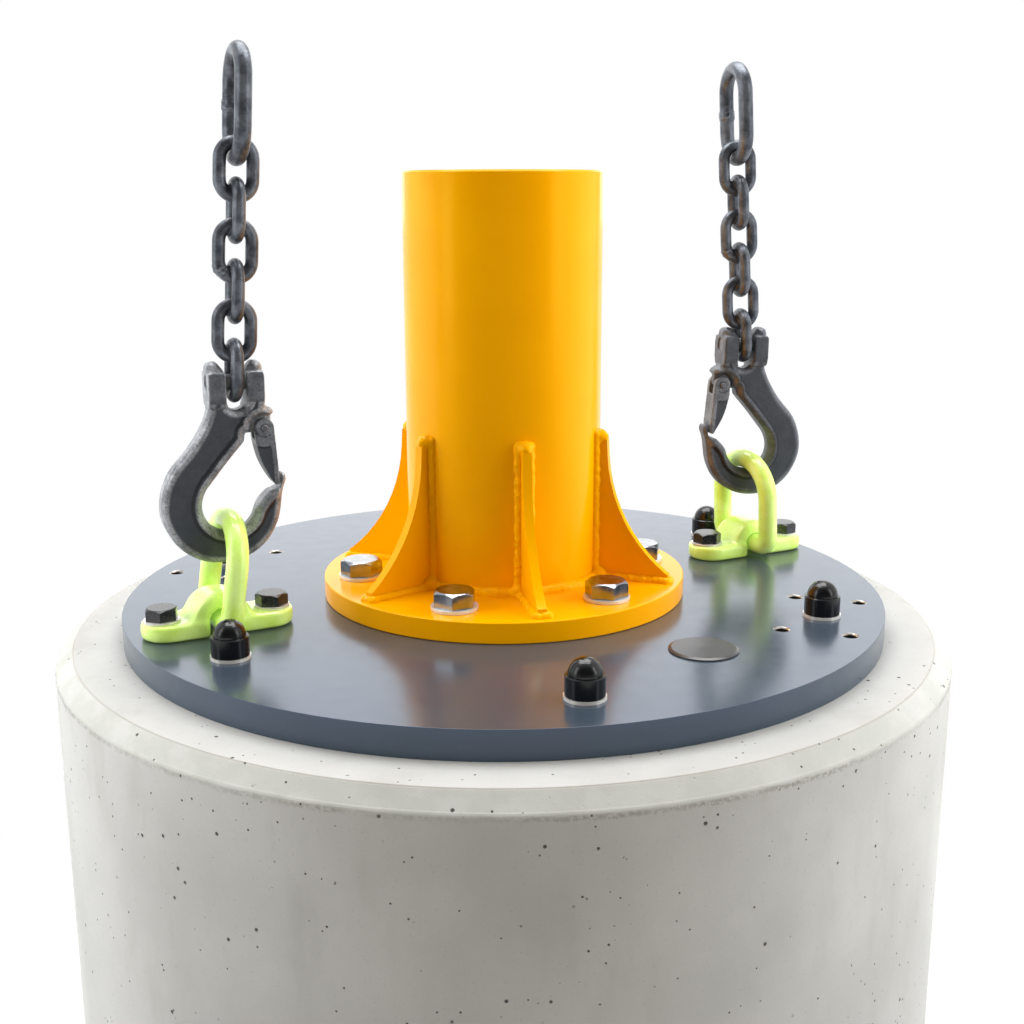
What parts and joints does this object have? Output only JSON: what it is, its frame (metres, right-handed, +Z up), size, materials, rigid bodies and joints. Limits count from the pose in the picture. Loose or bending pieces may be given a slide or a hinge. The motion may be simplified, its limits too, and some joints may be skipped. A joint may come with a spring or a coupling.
{
  "type": "jib crane base",
  "caption": "Round concrete ballast block with a bolted steel plate, the gusseted foot of a crane mast, and two lifting points with latched hooks and taut chain legs.",
  "frame": {"origin": "on the mast axis, at the underside of the concrete block", "axes": "+Z up along the mast; +X towards one group of four tapped holes; the lifting points stand at 45 and 225 degrees"},
  "size_m": [1.0008, 1.001, 1.3754],
  "materials": {
    "concrete": "fair-faced concrete with small air pits",
    "anthracite_paint": "satin paint",
    "yellow_paint": "gloss paint",
    "lime_paint": "gloss powder coat over a casting",
    "forged_steel": "dark scaled forging, bright on its edges",
    "black_steel": "blackened steel",
    "zinc": "zinc plate",
    "black_plastic": "moulded black plastic"
  },
  "bodies": {
    "base": {"concrete_block": "concrete", "ground_plate": "anthracite_paint", "hole_plug": "black_plastic", "anchor_studs": "zinc", "anchor_washers": "zinc", "anchor_cap_1": "black_plastic", "anchor_cap_2": "black_plastic", "anchor_cap_3": "black_plastic", "anchor_cap_4": "black_plastic", "anchor_cap_5": "black_plastic", "anchor_cap_6": "black_plastic", "mast_flange": "yellow_paint", "mast_tube": "yellow_paint", "gusset_1": "yellow_paint", "gusset_2": "yellow_paint", "gusset_3": "yellow_paint", "gusset_4": "yellow_paint", "gusset_5": "yellow_paint", "gusset_6": "yellow_paint", "flange_washers": "zinc", "flange_bolt_1": "zinc", "flange_bolt_2": "zinc", "flange_bolt_3": "zinc", "flange_bolt_4": "zinc", "flange_bolt_5": "zinc", "flange_bolt_6": "zinc", "left_lifting_bracket": "lime_paint", "left_bracket_washers": "zinc", "left_bracket_bolts": "black_steel", "right_lifting_bracket": "lime_paint", "right_bracket_washers": "zinc", "right_bracket_bolts": "black_steel"},
    "left_ring_body": {"left_lifting_ring": "lime_paint"},
    "left_hook_body": {"left_hook": "forged_steel", "left_hook_pins": "zinc"},
    "left_latch_body": {"left_latch": "forged_steel"},
    "left_chain_body": {"left_chain": "forged_steel", "left_end_link": "forged_steel"},
    "right_ring_body": {"right_lifting_ring": "lime_paint"},
    "right_hook_body": {"right_hook": "forged_steel", "right_hook_pins": "zinc"},
    "right_latch_body": {"right_latch": "forged_steel"},
    "right_chain_body": {"right_chain": "forged_steel", "right_end_link": "forged_steel"}
  },
  "joints": [
    {"name": "left_ring_swing", "type": "hinge", "parent": "base", "child": "left_ring_body", "pos_m": [-0.23759, -0.23759, 0.794], "axis": [-0.7071, 0.7071, 0], "range_deg": [-30, 6]},
    {"name": "left_hook_swing", "type": "hinge", "parent": "left_ring_body", "child": "left_hook_body", "pos_m": [-0.2263, -0.2263, 0.89829], "axis": [-0.6561, 0.7547, 0], "range_deg": [-10, 8]},
    {"name": "left_latch_hinge", "type": "hinge", "parent": "left_hook_body", "child": "left_latch_body", "pos_m": [-0.19687, -0.20072, 0.99233], "axis": [-0.6561, 0.7547, 0], "range_deg": [0, 28], "stiffness_Nm_per_rad": 0.4, "springref_deg": -34.38},
    {"name": "left_chain_swing", "type": "hinge", "parent": "left_hook_body", "child": "left_chain_body", "pos_m": [-0.21694, -0.21817, 1.04033], "axis": [0.7547, 0.6561, 0], "range_deg": [-12, 12]},
    {"name": "right_ring_swing", "type": "hinge", "parent": "base", "child": "right_ring_body", "pos_m": [0.24289, 0.24289, 0.7965], "axis": [0.7071, -0.7071, 0], "range_deg": [-30, 6]},
    {"name": "right_hook_swing", "type": "hinge", "parent": "right_ring_body", "child": "right_hook_body", "pos_m": [0.23925, 0.23925, 0.90187], "axis": [0.515, -0.8572, 0], "range_deg": [-10, 8]},
    {"name": "right_latch_hinge", "type": "hinge", "parent": "right_hook_body", "child": "right_latch_body", "pos_m": [0.20723, 0.22001, 0.99659], "axis": [0.515, -0.8572, 0], "range_deg": [0, 28], "stiffness_Nm_per_rad": 0.4, "springref_deg": -34.38},
    {"name": "right_chain_swing", "type": "hinge", "parent": "right_hook_body", "child": "right_chain_body", "pos_m": [0.23075, 0.23414, 1.04411], "axis": [-0.857, -0.515, 0.0175], "range_deg": [-12, 12]}
  ]
}
